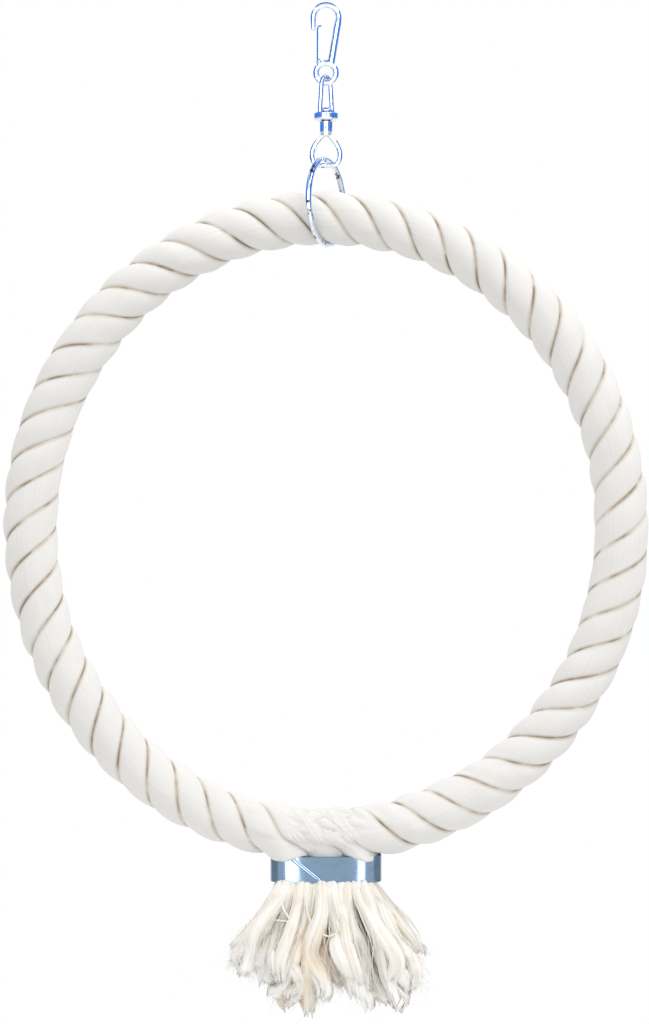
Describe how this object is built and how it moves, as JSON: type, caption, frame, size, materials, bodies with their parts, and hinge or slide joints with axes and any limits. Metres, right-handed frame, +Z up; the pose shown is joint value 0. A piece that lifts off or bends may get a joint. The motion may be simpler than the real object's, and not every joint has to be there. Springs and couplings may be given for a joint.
{
  "type": "rope ring bird swing",
  "caption": "Hanging perch ring of laid cotton rope with a banded frayed tassel, on a steel ring, swivel and snap hook.",
  "frame": {"origin": "hang point: the top of the inside of the snap hook, where a cage bar lies", "axes": "+Z up along the hanging line, the rope ring lies in the XZ plane, its front faces -Y and +X is to the right seen from the front"},
  "size_m": [0.2998, 0.0621, 0.4704],
  "materials": {
    "zinc_plate": "polished",
    "band_steel": "satin",
    "spring_steel": "satin",
    "core_steel": "satin",
    "cotton": "matte",
    "frayed_cotton": "matte"
  },
  "bodies": {
    "hook": {"snap_body": "zinc_plate", "gate_rivet": "zinc_plate"},
    "gate": {"snap_gate": "zinc_plate", "gate_spring": "spring_steel"},
    "yoke": {"swivel_yoke": "zinc_plate"},
    "swivel": {"swivel_eye": "zinc_plate"},
    "hanger": {"hang_ring": "zinc_plate"},
    "rope": {"rope_strand_1": "cotton", "rope_strand_2": "cotton", "rope_strand_3": "cotton", "core_hoop": "core_steel", "clamp_band": "band_steel", "tassel_front_left": "frayed_cotton", "tassel_front_middle": "frayed_cotton", "tassel_front_right": "frayed_cotton", "tassel_back_left": "frayed_cotton", "tassel_back_middle": "frayed_cotton", "tassel_back_right": "frayed_cotton"}
  },
  "joints": [
    {"name": "gate_hinge", "type": "hinge", "parent": "hook", "child": "gate", "pos_m": [-0.0032, 0, -0.0254], "axis": [0, 1, 0], "range_deg": [0, 17], "stiffness_Nm_per_rad": 0.01, "springref_deg": -20.05, "deforming": ["gate_spring"]},
    {"name": "yoke_swing", "type": "hinge", "parent": "hook", "child": "yoke", "pos_m": [0, 0, -0.0302], "axis": [0, 1, 0], "range_deg": [-45, 45]},
    {"name": "swivel_turn", "type": "hinge", "parent": "yoke", "child": "swivel", "pos_m": [0, 0, -0.05255], "axis": [0, 0, 1], "continuous": true},
    {"name": "ring_swing", "type": "hinge", "parent": "swivel", "child": "hanger", "pos_m": [0, 0, -0.07325], "axis": [1, 0, 0], "range_deg": [-45, 45]},
    {"name": "rope_swing", "type": "hinge", "parent": "hanger", "child": "rope", "pos_m": [0, 0, -0.11005], "axis": [0.4067, 0.9135, 0], "range_deg": [-30, 30]}
  ]
}
